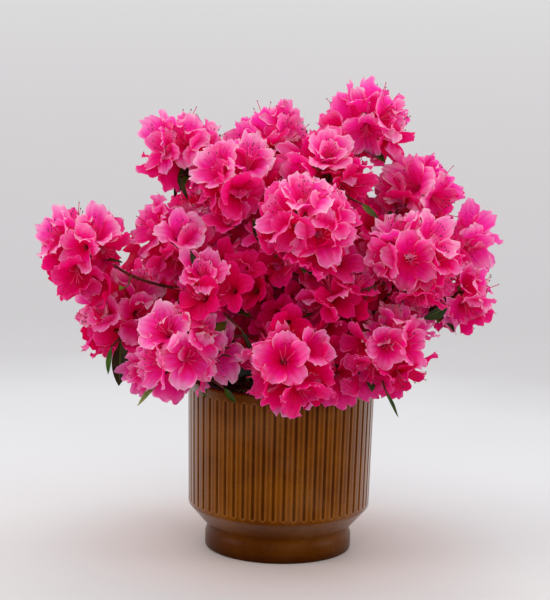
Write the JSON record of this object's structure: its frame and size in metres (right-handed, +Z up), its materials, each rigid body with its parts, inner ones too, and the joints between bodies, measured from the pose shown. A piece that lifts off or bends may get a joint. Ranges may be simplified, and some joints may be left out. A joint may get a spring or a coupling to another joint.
{
  "type": "potted azalea in flower",
  "caption": "Compact flowering azalea with dense trusses of ruffled pink blossom, in a fluted glazed round planter with a stepped foot.",
  "frame": {"origin": "the centre of the planter's flat underside, where it stands", "axes": "+Z up through the planter, -Y towards the front of the picture, +X to its right"},
  "size_m": [0.3658, 0.311, 0.3819],
  "materials": {
    "glaze": "amber-brown gloss glaze",
    "pot_plastic": "thin black moulded plastic",
    "compost": "moist peaty compost",
    "bark": "thin grey-brown bark, redder on young wood",
    "petal": "soft satin petals",
    "leaf": "leathery dark green leaves"
  },
  "bodies": {
    "root": {"planter": "glaze", "grow_pot": "pot_plastic", "compost": "compost", "trunk": "bark", "bough_top_middle": "bark", "bough_top_right": "bark", "bough_left": "bark", "bough_inner_front": "bark", "bough_back": "bark", "bough_far_right": "bark", "bough_back_left": "bark", "bough_back_right": "bark", "bough_low_front_left": "bark", "bough_low_front_right": "bark", "bough_far_left": "bark", "bough_low_left": "bark", "bough_top_left": "bark", "bough_upper_front_left": "bark", "bough_upper_back": "bark", "bough_top_front": "bark", "bough_upper_right": "bark", "bough_upper_front": "bark", "bough_low_front": "bark", "bough_inner_front_left": "bark", "bough_inner_front_right": "bark", "bough_front_right": "bark", "bough_upper_far_right": "bark", "bough_low_right": "bark", "bough_upper_back_left": "bark", "bough_low_back_left": "bark", "bough_low_back": "bark", "bough_low_back_right": "bark", "bloom_top_middle": "petal", "bloom_top_right": "petal", "bloom_left": "petal", "bloom_inner_front": "petal", "bloom_back": "petal", "bloom_far_right": "petal", "bloom_back_left": "petal", "bloom_back_right": "petal", "bloom_low_front_left": "petal", "bloom_low_front_right": "petal", "bloom_far_left": "petal", "bloom_low_left": "petal", "bloom_top_left": "petal", "bloom_upper_front_left": "petal", "bloom_upper_back": "petal", "bloom_top_front": "petal", "bloom_upper_right": "petal", "bloom_upper_front": "petal", "bloom_low_front": "petal", "bloom_inner_front_left": "petal", "bloom_inner_front_right": "petal", "bloom_front_right": "petal", "bloom_upper_far_right": "petal", "bloom_low_right": "petal", "bloom_upper_back_left": "petal", "bloom_low_back_left": "petal", "bloom_low_back": "petal", "bloom_low_back_right": "petal"}
  },
  "joints": []
}
